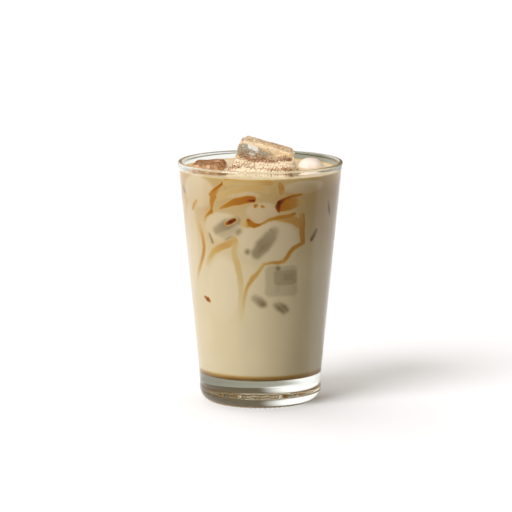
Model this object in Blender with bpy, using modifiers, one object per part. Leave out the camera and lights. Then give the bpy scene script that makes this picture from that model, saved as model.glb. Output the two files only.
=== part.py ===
"""An iced latte in a tapered, heavy-based tumbler, with the ice that breaks its surface.

Units are metres, +Z is up, and the origin is the centre of the glass's foot on the table.
"""

import math
import random

import bmesh
import bpy
from mathutils import Euler, Vector, noise

MM = 0.001

# Glass
GLASS_HEIGHT = 126.4 * MM
MOUTH_RADIUS = 43.0 * MM
LIP_RADIUS = 1.05 * MM  # half the thickness of the fire-polished lip
LIP_PROUD = 0.25 * MM  # how far the lip's bead stands out from the wall
LIP_DEPTH = 3.4 * MM  # from the rim to where the plain wall begins
RIM_WALL = 1.75 * MM  # wall just under the lip
FOOT_WALL = 3.1 * MM  # wall at the top of the heavy base
WALL_FOOT_RADIUS = 32.05 * MM  # outside radius where the straight taper ends
WALL_FOOT_HEIGHT = 16.0 * MM
HEEL_RADIUS = 7.2 * MM  # rounded heel between the wall and the foot
HEEL_WIDEST = 31.8 * MM
FLOOR_HEIGHT = 15.0 * MM  # thickness of the heavy base
FLOOR_FILLET = 3.5 * MM
PUNT_RADIUS = 21.5 * MM  # shallow hollow under the base
PUNT_DEPTH = 1.3 * MM
PUNT_SHARES = (1.0, 0.85, 0.6, 0.0)  # of its radius, where the hollow's curve has points
TURN_STEPS = 64

# Drink
DRINK_LEVEL = 122.0 * MM
GAP = 0.3 * MM  # between pieces that touch
POCKET_GAP = 0.4 * MM  # round each piece of ice that sits in the drink

# Ice
ICE_CELLS = 8  # mesh cells along each side of a block
ICE_MELT = 0.45 * MM  # how far melting has moved the faces in and out
ICE_MELT_LENGTH = 11.0 * MM
CLUMP_SINK = 0.3  # share of a spice clump's height that lies in the ice
CLUMP_SPREAD = 0.95  # share of a block's flat top that has clumps on it
CLUMP_FLATNESS = 0.6
CLUMP_UNEVEN = 0.25
CLUMP_SIZE = (0.55 * MM, 1.15 * MM)
GOLDEN_ANGLE = math.radians(137.5)

# Each block: size, centre, tilt towards the front, roll to the right and yaw in degrees, edge radius
ICE_BLOCKS = {
    "ice_back": {
        "size": Vector((29.5, 23.0, 30.0)) * MM,
        "centre": Vector((0.5, 17.8, 118.4)) * MM,
        "turn": (2.0, 14.5, -5.0),
        "edge": 4.4 * MM,
        "clumps": 12,
    },
    "ice_front": {
        "size": Vector((33.5, 26.5, 24.0)) * MM,
        "centre": Vector((0.8, -9.3, 113.9)) * MM,
        "turn": (6.0, 1.5, -9.0),
        "edge": 3.2 * MM,
        "clumps": 34,
    },
    "ice_left": {
        "size": Vector((16.5, 24.5, 22.0)) * MM,
        "centre": Vector((-27.0, 3.4, 114.0)) * MM,
        "turn": (0.0, -1.5, -7.0),
        "edge": 2.6 * MM,
        "clumps": 24,
    },
    "ice_right": {
        "size": Vector((14.5, 20.0, 21.0)) * MM,
        "centre": Vector((26.3, 13.5, 114.9)) * MM,
        "turn": (-1.0, 3.0, 0.0),
        "edge": 6.4 * MM,
        "clumps": 0,
    },
}


def clear_scene():
    for obj in list(bpy.data.objects):
        bpy.data.objects.remove(obj)


def new_collection(name):
    collection = bpy.data.collections.new(name)
    bpy.context.scene.collection.children.link(collection)
    return collection


def principled(name, colour, roughness, transmission=0.0, ior=1.45):
    """A material with the piece's colour (linear), roughness and clearness."""
    material = bpy.data.materials.new(name)
    material.use_nodes = True
    shader = material.node_tree.nodes["Principled BSDF"]
    shader.inputs["Base Color"].default_value = (*colour, 1.0)
    shader.inputs["Roughness"].default_value = roughness
    shader.inputs["Metallic"].default_value = 0.0
    shader.inputs["Transmission Weight"].default_value = transmission
    shader.inputs["IOR"].default_value = ior
    return material


def arc(centre, radius, start, end, steps):
    """Points of a circle's arc in the profile plane, from start to end degrees."""
    angles = [math.radians(start + (end - start) * i / steps) for i in range(steps + 1)]
    return [
        (centre[0] + radius * math.cos(a), centre[1] + radius * math.sin(a))
        for a in angles
    ]


def turned(name, profile, material, collection):
    """The solid of a profile (radius, height) turned round Z. The profile runs down its outer side."""
    mesh = bpy.data.meshes.new(name)
    points = [(r, 0.0, z) for r, z in profile]
    mesh.from_pydata(points, [(i, i + 1) for i in range(len(points) - 1)], [])
    mesh.materials.append(material)
    obj = bpy.data.objects.new(name, mesh)
    collection.objects.link(obj)
    screw = obj.modifiers.new("turn", "SCREW")
    screw.axis = "Z"
    screw.angle = math.radians(360.0)
    screw.steps = screw.render_steps = TURN_STEPS
    screw.use_merge_vertices = True
    screw.merge_threshold = 0.01 * MM
    screw.use_smooth_shade = True
    return obj


def outer_radius(height):
    """Outside of the straight tapered wall."""
    share = (height - WALL_FOOT_HEIGHT) / (GLASS_HEIGHT - LIP_RADIUS - WALL_FOOT_HEIGHT)
    under_lip = MOUTH_RADIUS - LIP_PROUD
    return WALL_FOOT_RADIUS + (under_lip - WALL_FOOT_RADIUS) * share


def inner_radius(height):
    """Inside of the wall, which thickens towards the base."""
    share = (height - FLOOR_HEIGHT) / (GLASS_HEIGHT - FLOOR_HEIGHT)
    return outer_radius(height) - FOOT_WALL - (RIM_WALL - FOOT_WALL) * share


def heights(low, high, steps):
    return [low + (high - low) * i / steps for i in range(steps + 1)]


def floor_profile(inset):
    """The cavity's floor, fillet and wall foot, from the axis outwards, moved in by inset."""
    fillet = FLOOR_FILLET - inset
    top = FLOOR_HEIGHT + FLOOR_FILLET
    centre = (inner_radius(top) - FLOOR_FILLET, top)
    return [(0.0, FLOOR_HEIGHT + inset), *arc(centre, fillet, -90.0, 0.0, 6)]


def build_glass(collection):
    lip_centre = (MOUTH_RADIUS - LIP_RADIUS, GLASS_HEIGHT - LIP_RADIUS)
    under_lip = GLASS_HEIGHT - LIP_DEPTH
    top_of_fillet = FLOOR_HEIGHT + FLOOR_FILLET
    inner = [(inner_radius(z), z) for z in heights(top_of_fillet, under_lip, 3)[1:]]
    lip = arc(lip_centre, LIP_RADIUS, 195.0, -15.0, 8)
    outer = [(outer_radius(z), z) for z in heights(under_lip, WALL_FOOT_HEIGHT, 3)]
    heel = arc((HEEL_WIDEST - HEEL_RADIUS, HEEL_RADIUS), HEEL_RADIUS, 0.0, -90.0, 7)
    punt = [
        (PUNT_RADIUS * c, PUNT_DEPTH * (1.0 - c * c))
        for c in PUNT_SHARES
    ]
    profile = floor_profile(0.0) + inner + lip + outer + heel + punt
    glass = principled("soda_lime_glass", (0.90, 0.94, 0.92), 0.02, 1.0, 1.52)
    return turned("glass", profile, glass, collection)


def build_drink(collection, cutters):
    level = heights(DRINK_LEVEL, FLOOR_HEIGHT + FLOOR_FILLET, 3)[:-1]
    side = [(inner_radius(z) - GAP, z) for z in level]
    profile = [(0.0, DRINK_LEVEL), *side, *floor_profile(GAP)[::-1]]
    milky = principled("milky_coffee", (0.58, 0.46, 0.31), 0.25)
    drink = turned("drink", profile, milky, collection)
    for cutter in cutters:
        pocket = drink.modifiers.new("pocket_" + cutter.name, "BOOLEAN")
        pocket.operation = "DIFFERENCE"
        pocket.solver = "EXACT"
        pocket.object = cutter
    return drink


def melted(point, seed):
    """How far melting has moved a block's face at this point."""
    where = Vector(point) / ICE_MELT_LENGTH + Vector((seed * 7.3, seed * 3.1, seed * 5.7))
    return ICE_MELT * noise.noise(where)


def rounded_block(size, edge, seed, grow=0.0):
    """A block with rounded edges and uneven, melted faces, as a bmesh."""
    block = bmesh.new()
    bmesh.ops.create_cube(block, size=2.0)
    bmesh.ops.subdivide_edges(
        block, edges=block.edges[:], cuts=ICE_CELLS - 1, use_grid_fill=True
    )
    half = size / 2.0
    core = half - Vector((edge, edge, edge))
    for vert in block.verts:
        # Cells crowd towards the edges, where the block is round.
        spread = Vector([math.sin(c * math.pi / 2.0) for c in vert.co])
        on_face = Vector([spread[i] * half[i] for i in range(3)])
        inside = Vector([max(-core[i], min(core[i], on_face[i])) for i in range(3)])
        outward = (on_face - inside).normalized()
        vert.co = inside + outward * (edge + grow + melted(inside + outward * edge, seed))
    return block


def new_mesh_object(name, block, material, collection):
    mesh = bpy.data.meshes.new(name)
    block.to_mesh(mesh)
    block.free()
    if material:
        mesh.materials.append(material)
    mesh.shade_smooth()
    obj = bpy.data.objects.new(name, mesh)
    collection.objects.link(obj)
    return obj


def place_block(obj, block):
    tilt, roll, yaw = (math.radians(a) for a in block["turn"])
    obj.location = block["centre"]
    obj.rotation_mode = "ZYX"
    obj.rotation_euler = Euler((tilt, roll, yaw), "ZYX")


def clump_places(block, draw):
    """Where spice clumps lie on the block's top: (x, y) in the block's frame, and their size."""
    flat = block["size"] / 2.0 - Vector((block["edge"],) * 3)
    places = []
    for i in range(block["clumps"]):
        # A sunflower's spiral, so that clumps are spread out and don't meet
        turn = i * GOLDEN_ANGLE
        reach = CLUMP_SPREAD * math.sqrt((i + 0.5) / block["clumps"])
        x = flat.x * reach * math.cos(turn)
        y = flat.y * reach * math.sin(turn)
        places.append((x, y, draw.uniform(*CLUMP_SIZE)))
    return places


def fuse_clumps(obj, block, seed, material):
    """Joins low spice clumps to the block's top by one union, and removes the loose clumps."""
    loose = new_collection(obj.name + "_clumps")
    half = block["size"] / 2.0
    for i, (x, y, size) in enumerate(clump_places(block, random.Random(seed))):
        clump = bmesh.new()
        bmesh.ops.create_icosphere(clump, subdivisions=1, radius=size)
        for vert in clump.verts:
            uneven = noise.noise(vert.co / size + Vector((i, seed, 0.0)))
            vert.co *= 1.0 + CLUMP_UNEVEN * uneven
            vert.co.z *= CLUMP_FLATNESS
        lump = new_mesh_object(f"{obj.name}_clump_{i}", clump, material, loose)
        raised = size * CLUMP_FLATNESS * (1.0 - 2.0 * CLUMP_SINK)
        top = half.z + melted((x, y, half.z), seed) + raised
        lump.matrix_world = obj.matrix_world.copy()
        lump.location = obj.matrix_world @ Vector((x, y, top))
    bpy.context.view_layer.update()
    join = obj.modifiers.new("clumps", "BOOLEAN")
    join.operation = "UNION"
    join.solver = "EXACT"
    join.operand_type = "COLLECTION"
    join.collection = loose
    bpy.context.view_layer.objects.active = obj
    bpy.ops.object.modifier_apply(modifier=join.name)
    for lump in list(loose.objects):
        bpy.data.objects.remove(lump)
    bpy.data.collections.remove(loose)


def build_ice(collection, cutters):
    clear = principled("clear_ice", (0.86, 0.86, 0.82), 0.08, 0.9, 1.31)
    spice = principled("ground_spice", (0.30, 0.14, 0.05), 0.9)
    pockets = []
    for seed, (name, block) in enumerate(ICE_BLOCKS.items(), start=1):
        mesh = rounded_block(block["size"], block["edge"], seed)
        obj = new_mesh_object(name, mesh, clear, collection)
        place_block(obj, block)
        bpy.context.view_layer.update()
        if block["clumps"]:
            fuse_clumps(obj, block, seed, spice)
        wider = rounded_block(block["size"], block["edge"], seed, POCKET_GAP)
        pocket = new_mesh_object(name + "_pocket", wider, None, cutters)
        place_block(pocket, block)
        pocket.hide_render = True
        pocket.display_type = "WIRE"
        pockets.append(pocket)
    return pockets


clear_scene()
iced_latte = new_collection("iced_latte")
pocket_cutters = new_collection("cutters")
ice_pockets = build_ice(iced_latte, pocket_cutters)
build_glass(iced_latte)
build_drink(iced_latte, ice_pockets)
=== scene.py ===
import math

import bmesh
import bpy
import numpy as np
from mathutils import Euler, Matrix, Vector, noise


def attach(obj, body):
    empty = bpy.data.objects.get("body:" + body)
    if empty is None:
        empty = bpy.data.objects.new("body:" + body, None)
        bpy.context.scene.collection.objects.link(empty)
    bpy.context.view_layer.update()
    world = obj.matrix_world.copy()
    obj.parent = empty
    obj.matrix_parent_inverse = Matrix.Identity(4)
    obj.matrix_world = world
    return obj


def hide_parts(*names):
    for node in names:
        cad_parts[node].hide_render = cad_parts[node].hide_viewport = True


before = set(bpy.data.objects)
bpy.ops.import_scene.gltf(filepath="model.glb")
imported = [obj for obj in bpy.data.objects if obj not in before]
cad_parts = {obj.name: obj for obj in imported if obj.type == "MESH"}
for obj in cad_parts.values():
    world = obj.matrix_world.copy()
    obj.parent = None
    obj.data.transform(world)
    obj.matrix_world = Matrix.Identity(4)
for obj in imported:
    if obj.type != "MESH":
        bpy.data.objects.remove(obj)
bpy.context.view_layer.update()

# Camera
# The photograph is a long-lens product shot from about two metres, looking down by ten degrees,
# with the glass a little right of and below the middle of the picture.
VIEW_DISTANCE = 2.0
VIEW_DOWN = math.radians(9.75)
VIEW_TARGET = Vector((0.0, 0.0, 0.0632))
TOWARDS_CAMERA = Vector((0.0, -math.cos(VIEW_DOWN), math.sin(VIEW_DOWN)))
FOCAL_LENGTH_MM = 268.8
SENSOR_MM = 36.0
IMAGE_SIDE = 512
TARGET_PIXEL = (260.3, 280.3)

camera = bpy.data.objects.new("camera", bpy.data.cameras.new("camera"))
bpy.context.scene.collection.objects.link(camera)
camera.data.lens = FOCAL_LENGTH_MM
camera.data.sensor_width = SENSOR_MM
camera.data.clip_end = 10.0 * VIEW_DISTANCE
camera.data.shift_x = 0.5 - TARGET_PIXEL[0] / IMAGE_SIDE
camera.data.shift_y = TARGET_PIXEL[1] / IMAGE_SIDE - 0.5
camera.location = VIEW_TARGET + VIEW_DISTANCE * TOWARDS_CAMERA
camera.rotation_euler = (math.pi / 2 - VIEW_DOWN, 0.0, 0.0)
bpy.context.scene.camera = camera
bpy.context.scene.view_settings.view_transform = "Standard"

# Tumbler
# A pressed tumbler of clear soda-lime glass. Its wall tapers to a thick base with a rounded heel,
# the lip is fire-polished into a bead, and the ring it stands on is knurled round a shallow hollow.
MM = 0.001
GLASS_HEIGHT = 126.4 * MM
MOUTH_RADIUS = 43.0 * MM
LIP_RADIUS = 1.05 * MM
LIP_PROUD = 0.25 * MM
LIP_DEPTH = 3.4 * MM
LIP_START, LIP_END = 195.0, -15.0  # degrees round the lip's bead, from its inside to its outside
RIM_WALL = 1.75 * MM
FOOT_WALL = 3.1 * MM
WALL_FOOT_RADIUS = 32.05 * MM
WALL_FOOT_HEIGHT = 16.0 * MM
HEEL_RADIUS = 7.2 * MM
HEEL_WIDEST = 31.8 * MM
FLOOR_HEIGHT = 15.0 * MM
FLOOR_FILLET = 3.5 * MM
PUNT_RADIUS = 21.5 * MM
PUNT_DEPTH = 1.3 * MM
PUNT_SHARES = (1.0, 0.93, 0.85, 0.7, 0.5, 0.25, 0.0)
TURN_STEPS = 384
WALL_STEPS = 12
FILLET_STEPS = 14
ROUND_STEPS = 20
KNURLS = 64
KNURL_RADIUS = 24.8 * MM
KNURL_WIDTH = 4.2 * MM
KNURL_HEIGHT = 1.5 * MM
KNURL_DEPTH = 0.3 * MM
GLASS_INDEX = 1.5
GLASS_WAVE = 14 * MM
GLASS_WAVE_DEPTH = 0.05 * MM


def linear(hex_colour):
    """The linear colour of an sRGB hex value such as "#d8c8a0"."""
    shares = [int(hex_colour[i : i + 2], 16) / 255 for i in (1, 3, 5)]
    return tuple(c / 12.92 if c <= 0.04045 else ((c + 0.055) / 1.055) ** 2.4 for c in shares) + (1.0,)


def add_node(material, kind, settings=None, links=None):
    """Adds a node. Settings are its properties or its inputs' values, and links are inputs' sources."""
    node = material.node_tree.nodes.new(kind)
    for key, value in (settings or {}).items():
        if isinstance(key, int) or key in node.inputs:
            node.inputs[key].default_value = value
        else:
            setattr(node, key, value)
    for key, source in (links or {}).items():
        material.node_tree.links.new(source, node.inputs[key])
    return node


def new_material(name):
    """A material without nodes yet."""
    material = bpy.data.materials.new(name)
    material.use_nodes = True
    material.node_tree.nodes.clear()
    return material


def lumps(material, length, detail):
    """Smooth noise on the object, in lumps about as long as length."""
    coords = add_node(material, "ShaderNodeTexCoord")
    settings = {"Scale": 1 / length, "Detail": detail}
    texture = add_node(material, "ShaderNodeTexNoise", settings, {"Vector": coords.outputs["Object"]})
    return texture.outputs["Fac"]


def uneven(material, height, strength, depth):
    """The normal of a surface that a height from 0 to 1 raises by depth."""
    settings = {"Strength": strength, "Distance": depth}
    return add_node(material, "ShaderNodeBump", settings, {"Height": height}).outputs["Normal"]


def clear_to_shadows(material, shader, tint):
    """The shader, but a clear tint where light passes through it to cast a shadow."""
    clear = add_node(material, "ShaderNodeBsdfTransparent", {"Color": linear(tint)})
    path = add_node(material, "ShaderNodeLightPath")
    links = {"Fac": path.outputs["Is Shadow Ray"], 1: shader, 2: clear.outputs[0]}
    return add_node(material, "ShaderNodeMixShader", {}, links).outputs[0]


def finish_piece(name, shape, material):
    """Makes a bmesh a smooth-shaded object with its material."""
    mesh = bpy.data.meshes.new(name)
    shape.to_mesh(mesh)
    shape.free()
    mesh.materials.append(material)
    mesh.shade_smooth()
    piece = bpy.data.objects.new(name, mesh)
    bpy.context.scene.collection.objects.link(piece)
    return piece


def turned(profile, steps):
    """A closed bmesh: the profile (radius, height) spun round Z."""
    shape = bmesh.new()
    verts = [shape.verts.new((r, 0.0, z)) for r, z in profile]
    edges = [shape.edges.new(pair) for pair in zip(verts, verts[1:])]
    bmesh.ops.spin(
        shape, geom=verts + edges, cent=(0, 0, 0), axis=(0, 0, 1),
        angle=2 * math.pi, steps=steps, use_merge=True,
    )
    bmesh.ops.remove_doubles(shape, verts=shape.verts, dist=0.001 * MM)
    bmesh.ops.recalc_face_normals(shape, faces=shape.faces)
    return shape


def arc(centre, radius, start, end, steps):
    """Points of a circle's arc in the profile plane, from start to end degrees."""
    angles = [math.radians(start + (end - start) * i / steps) for i in range(steps + 1)]
    return [(centre[0] + radius * math.cos(a), centre[1] + radius * math.sin(a)) for a in angles]


def spaced(low, high, steps):
    """Evenly spaced values from low to high, both included."""
    return [low + (high - low) * i / steps for i in range(steps + 1)]


def outer_radius(height):
    """The radius of the wall's outside."""
    share = (height - WALL_FOOT_HEIGHT) / (GLASS_HEIGHT - LIP_RADIUS - WALL_FOOT_HEIGHT)
    return WALL_FOOT_RADIUS + (MOUTH_RADIUS - LIP_PROUD - WALL_FOOT_RADIUS) * share


def inner_radius(height):
    """The radius of the wall's inside."""
    share = (height - FLOOR_HEIGHT) / (GLASS_HEIGHT - FLOOR_HEIGHT)
    return outer_radius(height) - FOOT_WALL - (RIM_WALL - FOOT_WALL) * share


def floor_profile(outset, steps):
    """The cavity's floor and fillet from the axis outwards, moved out into the glass by outset."""
    top = FLOOR_HEIGHT + FLOOR_FILLET
    centre = (inner_radius(top) - FLOOR_FILLET, top)
    return [(0.0, FLOOR_HEIGHT - outset), *arc(centre, FLOOR_FILLET + outset, -90.0, 0.0, steps)]


def glass_profile():
    """The glass from the middle of its floor up, over the lip and down to the middle of its hollow."""
    under_lip = GLASS_HEIGHT - LIP_DEPTH
    top_of_fillet = FLOOR_HEIGHT + FLOOR_FILLET
    lip_centre = (MOUTH_RADIUS - LIP_RADIUS, GLASS_HEIGHT - LIP_RADIUS)
    heel_centre = (HEEL_WIDEST - HEEL_RADIUS, HEEL_RADIUS)
    floor = floor_profile(0.0, FILLET_STEPS)
    inner = [(inner_radius(z), z) for z in spaced(top_of_fillet, under_lip, WALL_STEPS)[1:]]
    lip = arc(lip_centre, LIP_RADIUS, LIP_START, LIP_END, ROUND_STEPS)
    outer = [(outer_radius(z), z) for z in spaced(under_lip, WALL_FOOT_HEIGHT, WALL_STEPS)]
    heel = arc(heel_centre, HEEL_RADIUS, 0.0, -90.0, ROUND_STEPS)
    punt = [(PUNT_RADIUS * c, PUNT_DEPTH * (1.0 - c * c)) for c in PUNT_SHARES]
    return floor + inner + lip + outer + heel + punt


def soda_lime_glass():
    """Soda-lime glass, pressed and fire-polished: clear and glossy, with a faint grey-green body and
    faint waves that make what lies behind it waver."""
    material = new_material("soda_lime_glass")
    glass = add_node(
        material, "ShaderNodeBsdfPrincipled",
        {"Base Color": linear("#f4f8f5"), "Roughness": 0.0, "IOR": GLASS_INDEX, "Transmission Weight": 1.0},
        {"Normal": uneven(material, lumps(material, GLASS_WAVE, 1.0), 0.1, GLASS_WAVE_DEPTH)},
    )
    surface = clear_to_shadows(material, glass.outputs[0], "#f2f5f2")
    add_node(material, "ShaderNodeOutputMaterial", {}, {"Surface": surface})
    return material


def knurled_foot(shape):
    """Presses shallow grooves into the edge of the foot, the ring that the glass stands on."""
    for vert in shape.verts:
        radius = math.hypot(vert.co.x, vert.co.y)
        ring = 1.0 - abs(radius - KNURL_RADIUS) / KNURL_WIDTH
        if ring > 0.0 and vert.co.z < KNURL_HEIGHT:
            groove = 0.5 - 0.5 * math.cos(KNURLS * math.atan2(vert.co.y, vert.co.x))
            vert.co.z += KNURL_DEPTH * groove * min(1.0, 2.0 * ring)
    return shape


tumbler = finish_piece("tumbler", knurled_foot(turned(glass_profile(), TURN_STEPS)), soda_lime_glass())
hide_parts("glass")
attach(tumbler, "root")

# Ice blocks
# The four pieces of ice that break the surface. Each is a block from a tray with its edges melted
# round, and lies as its solid in the frame does.
ICE_MELT = 0.45 * MM
ICE_MELT_LENGTH = 11.0 * MM
ICE_MELT_SHIFT = (7.3, 3.1, 5.7)  # per block, so that each melts in its own way
ICE_BLOCKS = {
    "ice_back": {
        "size": Vector((29.5, 23.0, 30.0)) * MM,
        "centre": Vector((0.5, 17.8, 118.4)) * MM,
        "turn": (2.0, 14.5, -5.0),
        "edge": 4.4 * MM,
    },
    "ice_front": {
        "size": Vector((33.5, 26.5, 24.0)) * MM,
        "centre": Vector((0.8, -9.3, 113.9)) * MM,
        "turn": (6.0, 1.5, -9.0),
        "edge": 3.2 * MM,
    },
    "ice_left": {
        "size": Vector((16.5, 24.5, 22.0)) * MM,
        "centre": Vector((-27.0, 3.4, 114.0)) * MM,
        "turn": (0.0, -1.5, -7.0),
        "edge": 2.6 * MM,
    },
    "ice_right": {
        "size": Vector((14.5, 20.0, 21.0)) * MM,
        "centre": Vector((26.3, 13.5, 114.9)) * MM,
        "turn": (-1.0, 3.0, 0.0),
        "edge": 6.4 * MM,
    },
}


def melted(point, seed):
    """How far the melted face of a block stands out or in at a point."""
    shift = Vector([seed * step for step in ICE_MELT_SHIFT])
    return ICE_MELT * noise.noise(Vector(point) / ICE_MELT_LENGTH + shift)


def ice_block(block, seed, cells):
    """A block with rounded edges and uneven, melted faces, in its place, as a bmesh."""
    shape = bmesh.new()
    bmesh.ops.create_cube(shape, size=2.0)
    bmesh.ops.subdivide_edges(shape, edges=shape.edges[:], cuts=cells - 1, use_grid_fill=True)
    edge = block["edge"]
    half = block["size"] / 2.0
    core = half - Vector((edge, edge, edge))
    for vert in shape.verts:
        spread = Vector([math.sin(c * math.pi / 2.0) for c in vert.co])
        on_face = Vector([spread[i] * half[i] for i in range(3)])
        inside = Vector([max(-core[i], min(core[i], on_face[i])) for i in range(3)])
        outward = (on_face - inside).normalized()
        vert.co = inside + outward * (edge + melted(inside + outward * edge, seed))
    tilt, roll, yaw = (math.radians(a) for a in block["turn"])
    turn = Euler((tilt, roll, yaw), "ZYX").to_matrix().to_4x4()
    shape.transform(Matrix.Translation(block["centre"]) @ turn)
    return shape


# Milky coffee
# Cold milk with espresso run into it. It is opaque and scatters light just under its surface; where
# the coffee has not mixed in, it stands at the glass as amber threads round pale milky lobes.
DRINK_LEVEL = 122.0 * MM
INTO_WALL = 0.1 * MM
MENISCUS_RISE = 0.5 * MM
MENISCUS_WIDTH = 2.5 * MM
MENISCUS_SHARES = (0.25, 0.5, 0.75, 0.9, 1.0)
DRINK_TURN_STEPS = 420
TOP_STEPS = 14
SIDE_STEPS = 190
UNDERSIDE_STEPS = 8

# Streaks of coffee at the glass, traced. Each point: across and down in the photograph and
# half width, all in pixels, then strength.
PIXEL_MM = 0.52  # what a pixel covers at the front of the glass
STREAKS = {
    "thread_top": [
        (222.5, 180.5, 0.7, 0.3), (221.3, 184.3, 1.0, 0.85), (213.5, 190.3, 1.1, 0.75),
        (209.5, 194.5, 0.9, 0.5),
    ],
    "thread_band": [
        (219, 187, 1.5, 0.4), (212.8, 194.5, 3.2, 0.5), (211.8, 202, 2.6, 0.5),
        (211.4, 208, 1.4, 0.55), (211.4, 211.2, 1.8, 0.7), (208.2, 213.5, 1.3, 0.55),
        (205.6, 216.5, 1.1, 0.45), (204.3, 221, 1.0, 0.3),
    ],
    "thread_edge": [(215.6, 196.6, 0.6, 0.7), (213.2, 201, 0.6, 0.7)],
    "shoulder_spot": [(196.5, 201, 1.6, 0.35), (194.5, 204, 2.0, 0.42), (192.8, 208.6, 1.2, 0.45)],
    "long_run": [
        (195.7, 216.5, 2.0, 0.12), (199.4, 224.3, 2.6, 0.25), (201.4, 232.1, 2.6, 0.35),
        (203, 238.5, 2.2, 0.42), (204, 246, 1.8, 0.5), (203.7, 252, 1.8, 0.5),
        (202.4, 258.3, 2.0, 0.45), (200, 266.6, 1.8, 0.36), (198.3, 274, 1.8, 0.2),
        (197.5, 284, 2.0, 0.05),
    ],
    "rim_line": [(224, 178, 0.9, 0.5), (235, 179.5, 0.9, 0.4), (248, 179, 1.5, 0.2), (262, 179, 2.0, 0.25)],
    "golden_top": [
        (226, 182, 3.0, 0.25), (240, 181, 3.5, 0.2), (252, 181, 3.5, 0.25),
        (264, 181, 4.5, 0.35), (271, 183.5, 3.0, 0.38),
    ],
    "golden_drop": [(280.5, 184.5, 2.6, 0.42), (281.5, 188, 3.0, 0.48), (281.5, 193, 2.6, 0.4)],
    "arch": [
        (218, 197, 3.0, 0.2), (231, 191.5, 3.0, 0.25), (245, 188.5, 2.6, 0.28),
        (259, 188, 2.8, 0.3), (267, 191, 2.6, 0.2),
    ],
    "crescent_left": [
        (219.5, 208, 0.9, 0.45), (227, 205.2, 2.0, 0.62), (237, 201.5, 3.6, 0.68),
        (246, 200, 3.6, 0.74), (253, 199.3, 3.0, 0.74),
    ],
    "crescent_dark": [(247, 201.5, 0.8, 0.85), (253.6, 200.8, 1.5, 1.0)],
    "dot_a": [(255.3, 206, 1.4, 0.7), (256.2, 205.5, 1.2, 0.6)],
    "dot_b": [(262.4, 206.3, 1.2, 0.68), (263.4, 206.6, 1.0, 0.5)],
    "hook_dark": [
        (284, 199.6, 1.2, 0.85), (279.3, 202.9, 2.0, 1.0), (277.8, 206.5, 2.3, 0.92),
        (278.9, 210.6, 1.6, 0.85),
    ],
    "hook_edge": [
        (284, 199.5, 1.2, 0.85), (289, 197.2, 1.4, 0.8), (294, 196, 1.3, 0.72),
        (300, 194.8, 1.0, 0.7), (303.5, 194.2, 0.6, 0.4),
    ],
    "hook_fill": [
        (283, 206.5, 5.0, 0.68), (289, 204.5, 5.6, 0.6), (295, 203, 5.0, 0.45), (301, 203, 3.5, 0.25),
    ],
    "wedge": [
        (248, 220.3, 1.3, 0.85), (250, 223.5, 2.8, 0.66), (253.5, 225.2, 2.3, 0.7),
        (260, 224.9, 0.9, 0.72),
    ],
    "wedge_glow": [(243, 223.5, 2.5, 0.2), (248, 224.5, 3.2, 0.4)],
    "saddle_line": [
        (258, 225, 0.8, 0.5), (263.2, 223.3, 0.9, 0.5), (267.4, 220.6, 1.0, 0.5),
        (272.6, 218.8, 1.3, 0.52), (278.9, 217.5, 1.9, 0.6), (289.4, 215.8, 1.7, 0.55),
        (294.6, 213.8, 1.2, 0.66),
    ],
    "saddle_band": [
        (279, 219, 2.2, 0.35), (288, 219, 3.6, 0.42), (295, 221, 4.0, 0.42), (300, 225, 3.4, 0.4),
    ],
    "right_run": [
        (301.5, 213.8, 2.2, 0.36), (301.3, 221, 2.8, 0.42), (301.5, 229, 2.3, 0.46),
        (301.8, 237, 1.9, 0.46), (302.3, 243, 2.0, 0.5), (297.7, 245.6, 1.9, 0.5),
        (293.6, 248.2, 1.8, 0.52), (290.4, 251.8, 1.8, 0.55), (287.3, 256.6, 1.7, 0.52),
        (283.7, 261, 1.8, 0.42), (277.9, 262.6, 1.3, 0.48), (269.6, 263.3, 1.1, 0.42),
        (263.8, 264.3, 1.0, 0.35),
    ],
    "right_edge": [(304.2, 214, 0.6, 0.55), (304, 229, 0.6, 0.55), (303.8, 243, 0.8, 0.55)],
    "left_arch": [
        (234.4, 240, 3.0, 0.3), (228, 244.5, 3.2, 0.36), (221, 247, 3.0, 0.36),
        (214, 251.5, 2.8, 0.3), (210, 257, 2.4, 0.22), (207, 264, 2.2, 0.12),
    ],
    "mid_run": [
        (235.5, 243, 2.2, 0.2), (233.5, 253, 2.6, 0.2), (237.3, 264, 2.8, 0.22),
        (239.8, 276, 2.8, 0.2), (241, 290, 2.6, 0.16), (241, 305, 2.4, 0.12),
        (240.6, 320, 2.2, 0.06),
    ],
    "fall_line": [
        (263.8, 264.5, 0.9, 0.34), (258.8, 271.6, 1.5, 0.36), (252.8, 278.4, 2.2, 0.38),
        (248.4, 284.8, 1.5, 0.38), (245.8, 291.5, 1.1, 0.32), (244.3, 300, 1.1, 0.24),
        (243.1, 308, 1.2, 0.18), (241.4, 318, 1.2, 0.08),
    ],
    "rust_spot": [(205, 296.6, 0.9, 0.75), (208, 299.3, 1.9, 0.95), (209.8, 300.8, 0.9, 0.8)],
    "eye": [(226.8, 223.6, 1.5, 0.8), (230.2, 221.9, 2.0, 1.0), (234.2, 220.2, 1.7, 0.95)],
}
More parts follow.
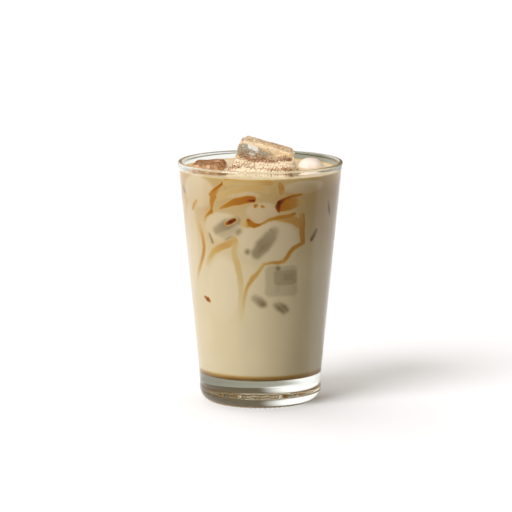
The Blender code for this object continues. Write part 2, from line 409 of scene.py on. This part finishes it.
# Where sunk ice leans on the glass under a thinning film of milk: painted shade, a grey olive for the
# shade inside the ice and in the drink behind it.
SMUDGES = {
    "eye_shade": [(236.8, 221.5, 2.3, 0.6), (226.8, 225, 4.2, 0.75), (217.4, 229.9, 3.1, 0.55)],
    "eye_below": [(233.1, 228.3, 4.2, 0.35), (222.4, 232.2, 4.2, 0.35)],
    "oval_shade": [
        (274.1, 231.7, 3.1, 0.5), (270, 237, 5.0, 0.62), (263, 246, 5.6, 0.75), (257, 253.4, 4.2, 0.7),
    ],
    "oval_dark": [(268.2, 242.3, 1.3, 0.72), (262.3, 248, 2.3, 0.84), (257.9, 252.8, 1.5, 0.8)],
    "tab": [(226.8, 239.2, 0.8, 0.5), (230, 238.2, 1.3, 0.6), (232.6, 236.8, 0.8, 0.5)],
    "tick": [(237.6, 232.4, 0.8, 0.7), (239, 231.2, 0.8, 0.7)],
    "capsule": [(255.5, 298.4, 2.1, 0.5), (259.3, 301.4, 2.3, 0.7), (262.7, 304, 2.1, 0.9)],
    "speck_a": [(278, 268.3, 0.6, 1.0), (278.4, 268.6, 0.6, 1.0)],
    "speck_b": [(247.2, 251.6, 0.6, 0.9), (247.6, 252, 0.6, 0.9)],
    "bubbles": [(276.1, 305.6, 0.8, 0.7), (279.2, 308.5, 1.2, 0.9), (283.3, 311.2, 1.0, 0.8)],
    "bubbles_top": [(279.4, 304.8, 0.8, 0.6), (284.1, 306.9, 1.0, 0.9), (286.7, 309.6, 0.8, 0.8)],
}
# Small dull brown marks: flecks of spice, and corners of ice that only just touch the glass, which
# are painted shade as the smudges are.
FLECKS = {
    "left_spot": [(182.8, 186, 1.6, 0.75), (184.6, 191, 1.8, 0.85)],
    "right_spot": [
        (328.3, 201.5, 0.9, 0.5), (328.9, 206.5, 1.3, 0.8), (329.2, 209.5, 1.1, 1.0),
        (329.8, 214, 0.9, 0.5),
    ],
    "right_slash": [(316, 229.8, 1.2, 0.75), (314.4, 234.3, 1.6, 0.9), (311.6, 239, 1.4, 1.0)],
    "thin_slash": [(209.3, 233.7, 0.5, 0.6), (210.9, 238.4, 0.8, 0.68), (212.4, 242.6, 1.0, 0.72)],
    "inner_mark": [(270.8, 229.5, 1.2, 0.6), (273.8, 234.6, 2.0, 0.58), (274.4, 238, 1.2, 0.4)],
}
# Blocks of sunk ice whose flat faces lie on the glass. In millimetres across from the front line
# and up from the table: left, bottom, right, top. Then strength, and softness in millimetres.
# Where these faces lie, the drink is painted grey olive as painted shade, for the shade inside the ice and
# in the drink behind it.
WINDOWS = [
    (2.4, 60.6, 19.6, 76.6, 0.3, 1.4),
    (6.4, 66.2, 19.4, 74.8, 0.55, 1.4),
    (6.6, 62.0, 11.0, 67.8, 0.38, 1.8),
    (10.5, 67.6, 18.2, 73.8, 0.66, 3.0),
]
WINDOW_CORNER = 2.5
# Lobes of milk, in the same millimetres: centre across and up, half width and half height. Then how
# much paler they are.
LOBES = [
    (-20.5, 96.8, 10.8, 8.0, 0.8),
    (4.2, 90.0, 17.0, 11.5, 0.75),
    (-20.0, 64.0, 9.8, 18.0, 0.85),
    (-10.5, 114.0, 11.0, 2.4, 0.5),
    (1.0, 105.5, 8.5, 5.2, 0.55),
    (24.0, 117.6, 13.0, 3.6, 0.6),
    (-44.0, 84.0, 7.0, 26.0, 0.6),
    (-37.0, 114.0, 13.0, 9.0, 0.75),
]
LOBE_EDGE, LOBE_SPILL = 3.2, 0.35  # how sharp a lobe's edge is, and how pale the milk is on its line
# Painted light: the share by which each lobe is painted lighter at its top and darker at its bottom.
LOBE_SHADING = 0.25
STREAK_EDGE = 0.7  # millimetres over which a streak fades out
SMUDGE_EDGE = 2.4
EDGE_INSIDE = 0.3  # how much further the fade reaches into the mark, as a share of its edge
FOOT_LINE = 18.6  # millimetres up, below which the coffee that has sunk makes a brown line
FOOT_LINE_FADE = 1.6
FOOT_LINE_COFFEE = 0.42
TOP_EDGE = 0.6  # millimetres in from the glass, where the marks end and the drink's top begins
TOP_DEPTH = 0.1 * MM
TOP_FOAM, TOP_FOAM_PATCHES = 0.7, 0.5
WAVER_LENGTH = 4.0 * MM
WAVER = 0.35  # millimetres by which marks leave their traced lines
# The front, and the two sides of the back, which repeat it mirrored: turn in degrees, mirror, drop
# in millimetres, and how many degrees to either side are painted.
SIDES = ((0.0, 1, 0.0, 80.0), (128.0, -1, 4.0, 48.0), (-128.0, -1, -6.0, 48.0))
GOLDEN_FROM, GOLDEN_TO = 74 * MM, 112 * MM  # heights between which the milk turns golden


def drink_profile():
    """The drink from its level down its wall to the middle of its underside, fine enough to paint."""
    wall = inner_radius(DRINK_LEVEL) + INTO_WALL
    flat = wall - MENISCUS_WIDTH
    top = [(r, DRINK_LEVEL) for r in spaced(0.0, flat, TOP_STEPS)]
    rise = [(wall - MENISCUS_WIDTH * (1 - s), DRINK_LEVEL + MENISCUS_RISE * s**3) for s in MENISCUS_SHARES]
    levels = spaced(DRINK_LEVEL, FLOOR_HEIGHT + FLOOR_FILLET, SIDE_STEPS)[:-1]
    side = [(inner_radius(z) + INTO_WALL, z) for z in levels]
    return top + rise + side + floor_profile(INTO_WALL, UNDERSIDE_STEPS)[::-1]


def meets_wall(start, ray, radius_at):
    """Where a ray first meets the side of the wall that radius_at gives, and its normal there."""
    foot = radius_at(0.0)
    slope = radius_at(1.0) - foot
    reach = foot + slope * start.z
    bend = ray.x * ray.x + ray.y * ray.y - (slope * ray.z) ** 2
    approach = start.x * ray.x + start.y * ray.y - reach * slope * ray.z
    outside = start.x * start.x + start.y * start.y - reach * reach
    point = start + ray * ((-approach - math.sqrt(approach * approach - bend * outside)) / bend)
    return point, Vector((point.x, point.y, -slope * math.hypot(point.x, point.y))).normalized()


def on_drink(pixel_x, pixel_y):
    """Where a place in the photograph lies on the drink, in millimetres: across from the front line
    and up from the table. The line of sight bends where it enters the glass."""
    focal_pixels = FOCAL_LENGTH_MM / SENSOR_MM * IMAGE_SIDE
    right = Vector((1.0, 0.0, 0.0))
    upward = TOWARDS_CAMERA.cross(right)
    aside = (pixel_x - TARGET_PIXEL[0]) / focal_pixels
    above = (TARGET_PIXEL[1] - pixel_y) / focal_pixels
    sight = (right * aside + upward * above - TOWARDS_CAMERA).normalized()
    entry, normal = meets_wall(VIEW_TARGET + VIEW_DISTANCE * TOWARDS_CAMERA, sight, outer_radius)
    facing = -normal.dot(sight) / GLASS_INDEX
    leaving = math.sqrt(1.0 - 1.0 / GLASS_INDEX**2 + facing * facing)
    bent = sight / GLASS_INDEX + normal * (facing - leaving)
    spot, _ = meets_wall(entry, bent, inner_radius)
    angle = math.atan2(spot.x, -spot.y)
    return angle * math.hypot(spot.x, spot.y) / MM, min(spot.z, DRINK_LEVEL) / MM


def along_streak(across, up, streak):
    """For each point, the distance to the streak's centre line, and the half width and strength there."""
    nearest = np.full(across.shape, 1e9)
    width = np.zeros(across.shape)
    strength = np.zeros(across.shape)
    for (x0, z0, w0, s0), (x1, z1, w1, s1) in zip(streak, streak[1:]):
        run = x1 - x0
        rise = z1 - z0
        share = np.clip(((across - x0) * run + (up - z0) * rise) / (run * run + rise * rise), 0, 1)
        distance = np.hypot(across - x0 - share * run, up - z0 - share * rise)
        closer = distance - (w0 + (w1 - w0) * share) < nearest - width
        nearest = np.where(closer, distance, nearest)
        width = np.where(closer, w0 + (w1 - w0) * share, width)
        strength = np.where(closer, s0 + (s1 - s0) * share, strength)
    return nearest, width, strength


def eased(share):
    """A share from 0 to 1, eased at both ends."""
    return share * share * (3 - 2 * share)


def soft_windows(across, up):
    """How much each point lies in a flat face of sunk ice."""
    amount = np.zeros(across.shape)
    for left, low, right, high, strength, soft in WINDOWS:
        beyond_x = np.maximum(np.abs(across - (left + right) / 2) - (right - left) / 2 + WINDOW_CORNER, 0)
        beyond_z = np.maximum(np.abs(up - (low + high) / 2) - (high - low) / 2 + WINDOW_CORNER, 0)
        depth = WINDOW_CORNER - np.hypot(beyond_x, beyond_z)
        amount = np.maximum(amount, strength * np.clip(depth / soft + 0.5, 0, 1))
    return amount


def soft_lobes(across, up):
    """How much each point lies in a pale lobe of milk, most just inside the lobe's upper edge: painted
    light, lighter toward a lobe's top and shaded toward its bottom.
    """
    amount = np.zeros(across.shape)
    for x0, z0, half_width, half_height, strength in LOBES:
        reach = np.sqrt(((across - x0) / half_width) ** 2 + ((up - z0) / half_height) ** 2)
        inside = np.clip((1.0 - reach) * LOBE_EDGE + LOBE_SPILL, 0, 1)
        lit = 1.0 - LOBE_SHADING + LOBE_SHADING * np.clip((up - z0) / half_height, -1, 1)
        amount = np.maximum(amount, strength * lit * eased(inside))
    return amount


def painted(across, up, streaks, edge):
    """The strongest of the streaks at each point, from 0 to 1, with soft edges."""
    amount = np.zeros(across.shape)
    for traced in streaks.values():
        streak = [(*on_drink(x, y), half_width * PIXEL_MM, share) for x, y, half_width, share in traced]
        nearest, width, strength = along_streak(across, up, streak)
        fade = np.clip((nearest - width + EDGE_INSIDE * edge) / ((1.0 + EDGE_INSIDE) * edge), 0, 1)
        amount = np.maximum(amount, strength * (1 - eased(fade)))
    return amount


def paint_drink(mesh):
    """Sets three attributes from 0 to 1: coffee; shade, painted shade where sunk ice shows through,
    with the brown flecks in it too; and pale, where there is more milk, with painted light that makes
    each lobe lighter toward its top. The top has no marks, only foam."""
    spots = np.empty(len(mesh.vertices) * 3)
    mesh.vertices.foreach_get("co", spots)
    x, y, z = spots.reshape(-1, 3).T
    waver = np.array([list(noise.noise_vector(Vector(p) / WAVER_LENGTH)) for p in spots.reshape(-1, 3)])
    radius = np.hypot(x, y)
    angle = np.arctan2(x, -y)
    coffee = np.zeros(len(x))
    shade = np.zeros(len(x))
    pale = np.zeros(len(x))
    for turn, mirror, drop, reach in SIDES:
        offset = (angle - math.radians(turn) + math.pi) % (2 * math.pi) - math.pi
        across = mirror * offset * radius / MM + WAVER * waver[:, 0]
        up = z / MM + drop + WAVER * waver[:, 1]
        near = np.abs(offset) < math.radians(reach)
        coffee = np.maximum(coffee, near * painted(across, up, STREAKS, STREAK_EDGE))
        # Painted shade where sunk ice shows through goes into shade, with the brown flecks; painted light
        # on the lobes goes into pale.
        shade = np.maximum(shade, near * painted(across, up, SMUDGES, SMUDGE_EDGE))
        shade = np.maximum(shade, near * painted(across, up, FLECKS, STREAK_EDGE))
        shade = np.maximum(shade, near * soft_windows(across, up))
        pale = np.maximum(pale, near * soft_lobes(across, up))
    wall = np.array([inner_radius(height) for height in z])
    on_top = np.clip((wall - radius) / MM - TOP_EDGE, 0, 1) * (z > DRINK_LEVEL - TOP_DEPTH)
    foam = np.clip(TOP_FOAM + TOP_FOAM_PATCHES * waver[:, 2], 0, 1)
    coffee = coffee * (1 - on_top)
    shade = shade * (1 - on_top)
    pale = pale * (1 - on_top) + foam * on_top
    sunk = np.clip((FOOT_LINE - z / MM) / FOOT_LINE_FADE, 0, 1)
    coffee = np.maximum(coffee, FOOT_LINE_COFFEE * sunk)
    for name, values in (("coffee", coffee), ("shade", shade), ("pale", pale)):
        mesh.attributes.new(name, "FLOAT", "POINT").data.foreach_set("value", values)


def attribute(material, name):
    """The value of a mesh's attribute."""
    return add_node(material, "ShaderNodeAttribute", {"attribute_name": name}).outputs["Fac"]


def ranged(material, value, low, high, top=1.0, easing="LINEAR"):
    """Turns a value between low and high into one between 0 and top."""
    settings = {"interpolation_type": easing, "From Min": low, "From Max": high, "To Max": top}
    return add_node(material, "ShaderNodeMapRange", settings, {"Value": value}).outputs[0]


def mixed(material, share, first, second):
    """Mixes two colours, each of them a hex value or a node's output."""
    settings = {"data_type": "RGBA"}
    links = {"Factor": share}
    for key, colour in ((6, first), (7, second)):
        if isinstance(colour, str):
            settings[key] = linear(colour)
        else:
            links[key] = colour
    return add_node(material, "ShaderNodeMix", settings, links).outputs[2]


def colour_ramp(material, share, stops):
    """The colour at a share of the way along stops, each a place and a hex value."""
    ramp = add_node(material, "ShaderNodeValToRGB", {}, {"Fac": share})
    elements = ramp.color_ramp.elements
    for element, (place, colour) in zip(elements[:], (stops[0], stops[-1])):
        element.position = place
        element.color = linear(colour)
    for place, colour in stops[1:-1]:
        elements.new(place).color = linear(colour)
    return ramp.outputs["Color"]


def milky_coffee():
    """Milk with coffee: opaque and soft, with light that scatters under the surface. The coffee runs
    from straw through amber to a dark red brown. Where sunk ice shows, a grey olive is painted as
    shade, and the strongest marks, the flecks among them, turn a redder brown."""
    material = new_material("milky_coffee")
    coords = add_node(material, "ShaderNodeTexCoord")
    place = add_node(material, "ShaderNodeSeparateXYZ", {}, {"Vector": coords.outputs["Object"]})
    patches = ranged(material, lumps(material, 16 * MM, 3.0), 0.35, 0.7)
    golden = ranged(material, place.outputs["Z"], GOLDEN_FROM, GOLDEN_TO, 0.9)
    body = mixed(material, golden, mixed(material, patches, "#dac8a6", "#decba9"), "#c5a269")
    milk = mixed(material, attribute(material, "pale"), body, "#e3d1b4")
    # Painted shade: grey olive where sunk ice shows through the milk, a redder brown at the strongest marks
    # and the flecks.
    shade = attribute(material, "shade")
    painted_shade_and_flecks = colour_ramp(material, shade, [(0.7, "#74603e"), (1.0, "#8a6048")])
    shaded = mixed(material, shade, milk, painted_shade_and_flecks)
    coffee = attribute(material, "coffee")
    straw_to_brown = [
        (0.1, "#d2b984"), (0.3, "#cfa868"), (0.48, "#bc843a"), (0.62, "#b67816"),
        (0.75, "#ae6206"), (0.88, "#8a3200"), (1.0, "#4c1600"),
    ]
    threads = colour_ramp(material, coffee, straw_to_brown)
    surface = add_node(
        material, "ShaderNodeBsdfPrincipled",
        {
            "Roughness": 0.3, "IOR": 1.35, "Specular IOR Level": 0.08,
            "Subsurface Weight": 0.06, "Subsurface Scale": 0.8 * MM,
            "Subsurface Radius": (1.0, 0.75, 0.5),
        },
        {"Base Color": mixed(material, ranged(material, coffee, 0.0, 0.24), shaded, threads)},
    )
    add_node(material, "ShaderNodeOutputMaterial", {}, {"Surface": surface.outputs[0]})
    return material


drink = finish_piece("milky_coffee", turned(drink_profile(), DRINK_TURN_STEPS), milky_coffee())
paint_drink(drink.data)
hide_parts("drink")
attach(drink, "root")

# Ice at the surface
# Clear ice, melted smooth and wet, with milk foam and a dusting of ground spice caught on it. These
# are the four blocks above, in a mesh fine enough to paint.
ICE_CELLS = 28
ICE_INDEX = 1.31
# Heaps of spice: centre across, back and up in millimetres, radius, and strength.
HEAPS = [
    (-9.0, 5.5, 129.5, 4.0, 1.0),
    (-1.0, 0.5, 127.5, 6.5, 1.0),
    (4.5, -4.0, 127.0, 4.0, 0.8),
    (15.0, -21.0, 126.5, 4.5, 1.0),
    (7.0, -21.0, 126.8, 3.5, 0.7),
    (14.0, 5.5, 124.0, 4.0, 1.0),
    (-14.0, -18.0, 126.5, 3.5, 0.6),
]
# For each block: how much foam, and how much spice its upper side and its front hold.
COATS = {
    "ice_back": (0.3, 0.12, 0.3),
    "ice_front": (1.0, 0.2, 0.12),
    "ice_left": (1.0, 0.75, 0.45),
    "ice_right": (1.0, 0.0, 0.0),
}
HEAP_FULL, HEAP_FALL = 1.9, 1.3  # whole to two thirds of its radius, gone at one and a half
SPICE_EVEN = 0.5
SPICE_PATCH, SPICE_PATCHY = 2.6 * MM, 0.9
SPICE_SPECK, SPICE_SPECKLED = 0.9 * MM, 0.4
FRONT_SPICE_TOP = 127.5 * MM  # above this, the fronts of the blocks hold less and less spice
FRONT_SPICE_FADE = 5.0 * MM
FOAM_RISE = 1.0  # millimetres that milk clings above the drink's level
FOAM_FRONT_RISE = 5.5  # and how many more on a block's front
FOAM_FADE = 1.5 * MM
FOAM_LUMPS = ((2.2 * MM, 4.0 * MM), (1.0 * MM, 1.5 * MM))  # how high and how long its ragged edge is


def clipped(value):
    """A value held between 0 and 1."""
    return max(0.0, min(1.0, value))


def heap_share(point):
    """How much a heap of spice covers the point, from 0 to 1."""
    share = 0.0
    for x0, y0, z0, radius, strength in HEAPS:
        distance = (point - Vector((x0, y0, z0)) * MM).length / (radius * MM)
        share = max(share, strength * clipped(HEAP_FULL - HEAP_FALL * distance))
    return share


def spice_share(name, point, normal):
    """The share of the ice that spice covers at a point."""
    _, above, front = COATS[name]
    upward = max(0.0, normal.z)
    facing = max(0.0, -normal.y) * clipped(1.0 - (point.z - FRONT_SPICE_TOP) / FRONT_SPICE_FADE)
    patch = SPICE_EVEN + SPICE_PATCHY * noise.noise(point / SPICE_PATCH)
    patch += SPICE_SPECKLED * noise.noise(point / SPICE_SPECK)
    share = (above * upward + front * facing) * max(0.0, patch)
    if name != "ice_right":
        share = max(share, heap_share(point) * min(1.0, upward + facing))
    return clipped(share) if point.z > DRINK_LEVEL else 0.0


def paint_ice(mesh, name):
    """Sets foam, where milk clings to the ice, and dust, where fine spice does."""
    foam_kept = COATS[name][0]
    foam = []
    dust = []
    for vert in mesh.vertices:
        point = vert.co
        ragged = sum(height * noise.noise(point / length) for height, length in FOAM_LUMPS)
        line = DRINK_LEVEL + (FOAM_RISE + FOAM_FRONT_RISE * max(0.0, -vert.normal.y)) * MM
        wet = clipped(0.5 + (line + ragged - point.z) / FOAM_FADE)
        foam.append(max(wet, foam_kept if foam_kept > 0.5 else foam_kept * max(0.0, vert.normal.z)))
        dust.append(spice_share(name, point, vert.normal))
    for attribute_name, values in (("foam", foam), ("dust", dust)):
        mesh.attributes.new(attribute_name, "FLOAT", "POINT").data.foreach_set("value", values)


def combined(material, operation, first, second):
    """Two values multiplied, or the larger of them."""
    return add_node(material, "ShaderNodeMath", {"operation": operation}, {0: first, 1: second}).outputs[0]


def wet_ice(name, foam_colour, dust_colour, stain_colour):
    """Ice that is clear where it is bare, creamy where milk clings and brown where spice does."""
    material = new_material(name)
    melt = uneven(material, lumps(material, 5 * MM, 2.0), 0.6, 0.35 * MM)
    speckle = ranged(material, lumps(material, 1.1 * MM, 2.0), 0.36, 0.6)
    cover = combined(material, "MULTIPLY", attribute(material, "dust"), speckle)
    milk = add_node(
        material, "ShaderNodeBsdfPrincipled",
        {"Roughness": 0.4, "Subsurface Weight": 0.15, "Subsurface Scale": 1.5 * MM},
        {"Base Color": mixed(material, cover, foam_colour, dust_colour), "Normal": melt},
    )
    stain = linear(stain_colour)
    bare = add_node(
        material, "ShaderNodeBsdfPrincipled",
        {"Base Color": stain, "Roughness": 0.03, "IOR": ICE_INDEX, "Transmission Weight": 1.0},
        {"Normal": melt},
    )
    lit = clear_to_shadows(material, bare.outputs[0], "#f2efe6")
    coated = combined(material, "MAXIMUM", attribute(material, "foam"), cover)
    surface = add_node(material, "ShaderNodeMixShader", {}, {"Fac": coated, 1: lit, 2: milk.outputs[0]})
    add_node(material, "ShaderNodeOutputMaterial", {}, {"Surface": surface.outputs[0]})
    return material


ICE_LOOKS = {
    "ice_back": wet_ice("clear_ice", "#f8e2be", "#c08850", "#fcfaf6"),
    "ice_front": wet_ice("foamy_ice", "#fbe6c2", "#c08850", "#fbf6ee"),
    "ice_left": wet_ice("spiced_ice", "#dcb080", "#ac7442", "#fbf6ee"),
    "ice_right": wet_ice("milky_ice", "#f6e2d2", "#b98a60", "#fbf4ee"),
}
ice_pieces = {}
for seed, (name, block) in enumerate(ICE_BLOCKS.items(), start=1):
    piece = finish_piece("wet_" + name, ice_block(block, seed, ICE_CELLS), ICE_LOOKS[name])
    paint_ice(piece.data, name)
    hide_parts(name)
    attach(piece, "root")
    ice_pieces[name] = piece

# Ground spice
# Cinnamon-brown grains of a coarse powder, between a fifth and half a millimetre across, each an
# irregular chip. They lie on the ice as they fell, thickest in small heaps.
MOST_GRAINS = 6000
GRAIN_TRIES = 90000
GRAIN_CHANCE = 1.3
GRAIN_SIZES = (0.10 * MM, 0.27 * MM)
GRAIN_STRETCH = (0.6, 1.4)
GRAIN_CHIPPED = (0.8, 1.15)
GRAIN_LIFT = 0.4  # of its size, by which a grain's centre stands off the ice


def ground_spice():
    """Dry bark, ground: matt, from tan to a dark red brown, one shade to a grain."""
    material = new_material("ground_spice")
    shades = [(0.0, "#5a3218"), (0.5, "#9a6234"), (1.0, "#dcb888")]
    colour = colour_ramp(material, attribute(material, "tone"), shades)
    surface = add_node(material, "ShaderNodeBsdfPrincipled", {"Roughness": 0.85}, {"Base Color": colour})
    add_node(material, "ShaderNodeOutputMaterial", {}, {"Surface": surface.outputs[0]})
    return material


def scattered_spots(chance):
    """Random points on the ice where spice lies, with their normals."""
    spots = []
    for name, piece in ice_pieces.items():
        mesh = piece.data
        areas = np.array([face.area for face in mesh.polygons])
        picks = chance.choice(len(areas), size=GRAIN_TRIES // len(ice_pieces), p=areas / areas.sum())
        weights = chance.dirichlet((1.0, 1.0, 1.0, 1.0), size=len(picks))
        draws = chance.random(len(picks))
        for pick, weight, draw in zip(picks, weights, draws):
            face = mesh.polygons[pick]
            if face.center.z < DRINK_LEVEL:
                continue
            corners = [mesh.vertices[v].co for v in face.vertices]
            point = sum((corner * float(w) for corner, w in zip(corners, weight)), Vector())
            if draw < GRAIN_CHANCE * spice_share(name, point, face.normal):
                spots.append((point, face.normal.copy()))
    chance.shuffle(spots)
    return spots[:MOST_GRAINS]


def spice_mesh():
    """All grains as one mesh: copies of a twenty-sided chip, each with its own size, turn and tone."""
    chance = np.random.default_rng(11)
    chip = bmesh.new()
    bmesh.ops.create_icosphere(chip, subdivisions=1, radius=1.0)
    corners = np.array([v.co[:] for v in chip.verts])
    faces = np.array([[v.index for v in f.verts] for f in chip.faces])
    chip.free()
    verts = []
    tones = []
    spots = scattered_spots(chance)
    for point, normal in spots:
        size = chance.uniform(*GRAIN_SIZES)
        stretch = chance.uniform(*GRAIN_STRETCH, size=3) * size
        turn = np.array(Euler(chance.uniform(0, 6.28, size=3)).to_matrix())
        centre = np.array(point) + np.array(normal) * size * GRAIN_LIFT
        chipped = corners * chance.uniform(*GRAIN_CHIPPED, size=(len(corners), 1))
        verts.append((chipped * stretch) @ turn.T + centre)
        tones.extend([chance.random()] * len(corners))
    offsets = np.repeat(np.arange(len(spots)) * len(corners), len(faces))[:, None]
    all_faces = np.tile(faces, (len(spots), 1)) + offsets
    mesh = bpy.data.meshes.new("ground_spice")
    mesh.from_pydata(np.concatenate(verts).tolist(), [], all_faces.tolist())
    mesh.attributes.new("tone", "FLOAT", "POINT").data.foreach_set("value", tones)
    return mesh


spice = bpy.data.objects.new("ground_spice", spice_mesh())
spice.data.materials.append(ground_spice())
bpy.context.scene.collection.objects.link(spice)
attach(spice, "root")

# Floor and light
# A pale studio table under a large soft key light at the front left, a weak one at the right and a
# broad one overhead, with weak warm light from the room, which is brighter at the back left.
TABLE_HALF = 4.0
SHADED_FROM, SHADED_TO = -26 * MM, -6 * MM  # across the table, from its light left to its darker right
FRONT_FROM, FRONT_TO = 20 * MM, -60 * MM  # from the light back to the darker front
KEY = {"around": -44.0, "up": 42.0, "strength": 2.55, "softness": 32.0, "colour": "#f8f9ff"}
FILL = {"around": 84.0, "up": 12.0, "strength": 0.45, "softness": 50.0, "colour": "#fbfaff"}
OVERHEAD = {"around": -140.0, "up": 76.0, "strength": 1.5, "softness": 60.0, "colour": "#fdfdff"}
ROOM_STRENGTH = 0.15
ROOM_COLOUR = "#ffe6bc"
BRIGHT_SIDE = (-0.64, 0.77, 0.05)  # the way to the room's brighter part
BRIGHT_COLOUR = (1.3, 1.28, 1.24, 1.0)


def studio_floor():
    """Pale matt paint. Bounce light meets a darker warm paint instead, painted shade, so that it throws
    little light back at the glass, as a small table would. Seen through the glass on its right side, and
    in the glass's reflection of its front, it is painted darker as a painted shadow, so the foot of the
    glass shows its right side darker, as in the photograph."""
    material = new_material("pale_table")
    path = add_node(material, "ShaderNodeLightPath")
    coords = add_node(material, "ShaderNodeTexCoord")
    place = add_node(material, "ShaderNodeSeparateXYZ", {}, {"Vector": coords.outputs["Object"]})
    right_side = ranged(material, place.outputs["X"], SHADED_FROM, SHADED_TO, 0.85, "SMOOTHSTEP")
    front_side = ranged(material, place.outputs["Y"], FRONT_FROM, FRONT_TO, 0.9, "SMOOTHSTEP")
    # Painted shadow: darker where the table is seen through the glass on its right, and where the glass
    # reflects its front.
    through_glass = combined(material, "MULTIPLY", right_side, path.outputs["Is Transmission Ray"])
    on_glass = combined(material, "MULTIPLY", front_side, path.outputs["Is Glossy Ray"])
    darker = combined(material, "MAXIMUM", through_glass, on_glass)
    seen = mixed(material, darker, "#f8f8f8", "#76745a")
    # Painted shade: light that bounces off the table sees a darker warm paint.
    paint = mixed(material, path.outputs["Is Diffuse Ray"], seen, "#a4863e")
    surface = add_node(material, "ShaderNodeBsdfPrincipled", {"Roughness": 0.7}, {"Base Color": paint})
    add_node(material, "ShaderNodeOutputMaterial", {}, {"Surface": surface.outputs[0]})
    return material


def soft_light(name, look):
    """A large soft light so far off that it lights the whole table evenly, from an angle round the
    glass (0 is the front, negative the left) and a height above the table, in degrees."""
    around = math.radians(look["around"])
    up = math.radians(look["up"])
    light = bpy.data.lights.new(name, "SUN")
    light.energy = look["strength"]
    light.angle = math.radians(look["softness"])
    light.color = linear(look["colour"])[:3]
    lamp = bpy.data.objects.new(name, light)
    bpy.context.scene.collection.objects.link(lamp)
    towards = Vector((math.sin(around) * math.cos(up), -math.cos(around) * math.cos(up), math.sin(up)))
    lamp.rotation_euler = (-towards).to_track_quat("-Z", "Y").to_euler()


def room():
    """White behind the glass where the camera looks, brighter at the back left than elsewhere."""
    world = bpy.data.worlds.new("room")
    world.use_nodes = True
    world.node_tree.nodes.clear()
    coords = add_node(world, "ShaderNodeTexCoord")
    settings = {"operation": "DOT_PRODUCT", 1: BRIGHT_SIDE}
    bright = add_node(world, "ShaderNodeVectorMath", settings, {0: coords.outputs["Generated"]})
    wall = ranged(world, bright.outputs["Value"], 0.75, 0.95, 1.0, "SMOOTHSTEP")
    rest = [c * ROOM_STRENGTH for c in linear(ROOM_COLOUR)]
    settings = {"data_type": "RGBA", 6: rest, 7: BRIGHT_COLOUR}
    shade = add_node(world, "ShaderNodeMix", settings, {"Factor": wall})
    light = add_node(world, "ShaderNodeBackground", {}, {"Color": shade.outputs[2]})
    seen = add_node(world, "ShaderNodeBackground", {"Color": (1.0, 1.0, 1.0, 1.0)})
    path = add_node(world, "ShaderNodeLightPath")
    links = {"Fac": path.outputs["Is Camera Ray"], 1: light.outputs[0], 2: seen.outputs[0]}
    surface = add_node(world, "ShaderNodeMixShader", {}, links)
    add_node(world, "ShaderNodeOutputWorld", {}, {"Surface": surface.outputs[0]})
    return world


plane = bmesh.new()
bmesh.ops.create_grid(plane, x_segments=1, y_segments=1, size=TABLE_HALF)
table = finish_piece("table", plane, studio_floor())
bpy.context.scene.world = room()
soft_light("key", KEY)
soft_light("fill", FILL)
soft_light("overhead", OVERHEAD)
